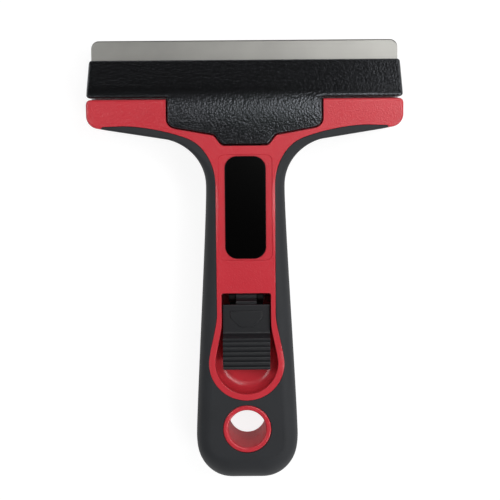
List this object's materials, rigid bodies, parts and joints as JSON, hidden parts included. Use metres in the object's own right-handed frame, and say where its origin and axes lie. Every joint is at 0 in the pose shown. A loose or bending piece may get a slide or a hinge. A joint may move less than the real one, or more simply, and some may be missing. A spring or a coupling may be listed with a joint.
{
  "type": "glass scraper",
  "caption": "Wide-blade hand scraper for glass: two-shell handle with soft grips and a hang hole, and a thumb latch that opens a rocking clamp jaw to release the blade.",
  "frame": {"origin": "middle of the rear face's plane, under the centre of the box round the part", "axes": "+X across the blade, +Y along the handle to the cutting edge, +Z out of the front face with the thumb latch"},
  "size_m": [0.103, 0.1478, 0.0208],
  "materials": {
    "red_shell": "moulded ABS, satin gloss with a fine grain",
    "soft_grip": "matte overmoulded elastomer",
    "grained_black": "moulded, pebble grain",
    "blade_steel": "ground and lightly brushed",
    "gloss_label": "smooth gloss, bare",
    "slider_plastic": "moulded acetal",
    "button_plastic": "moulded, fine grain",
    "spring_steel": "bright drawn wire",
    "screw_steel": "zinc plated"
  },
  "bodies": {
    "handle": {"front_shell": "red_shell", "rear_shell": "red_shell", "front_grip": "soft_grip", "rear_grip": "soft_grip", "rear_jaw": "grained_black", "label_plate": "gloss_label", "jaw_pin_left": "spring_steel", "jaw_pin_right": "spring_steel", "jaw_spring_left": "spring_steel", "jaw_spring_right": "spring_steel", "return_spring": "spring_steel", "neck_screw": "screw_steel", "butt_screw_left": "screw_steel", "butt_screw_right": "screw_steel", "jaw_screw_left": "screw_steel", "jaw_screw_right": "screw_steel"},
    "latch": {"latch_slider": "slider_plastic", "button_pin": "spring_steel", "button_spring": "spring_steel"},
    "button": {"thumb_button": "button_plastic"},
    "clamp_jaw": {"front_jaw": "grained_black"},
    "cutting_blade": {"blade": "blade_steel"}
  },
  "joints": [
    {"name": "latch_slide", "type": "slide", "parent": "handle", "child": "latch", "axis": [0, 1, 0], "range_m": [-0.0042, 0], "stiffness_N_per_m": 300, "springref_m": 0.004, "deforming": ["return_spring", "button_spring"]},
    {"name": "button_press", "type": "hinge", "parent": "latch", "child": "button", "pos_m": [0, -0.0111, 0.0138], "axis": [1, 0, 0], "range_deg": [0, 3.5], "stiffness_Nm_per_rad": 0.1, "springref_deg": -8.59, "deforming": ["button_spring"]},
    {"name": "jaw_open", "type": "hinge", "parent": "handle", "child": "clamp_jaw", "pos_m": [0, 0.0506, 0.016], "axis": [1, 0, 0], "range_deg": [0, 5.1], "deforming": ["jaw_spring_left", "jaw_spring_right"]},
    {"name": "blade_draw", "type": "slide", "parent": "handle", "child": "cutting_blade", "axis": [0, 1, 0], "range_m": [0, 0.014]}
  ],
  "couplings": [
    {"joint": "jaw_open", "follows": "latch_slide", "rad_per_m": -20.78}
  ]
}
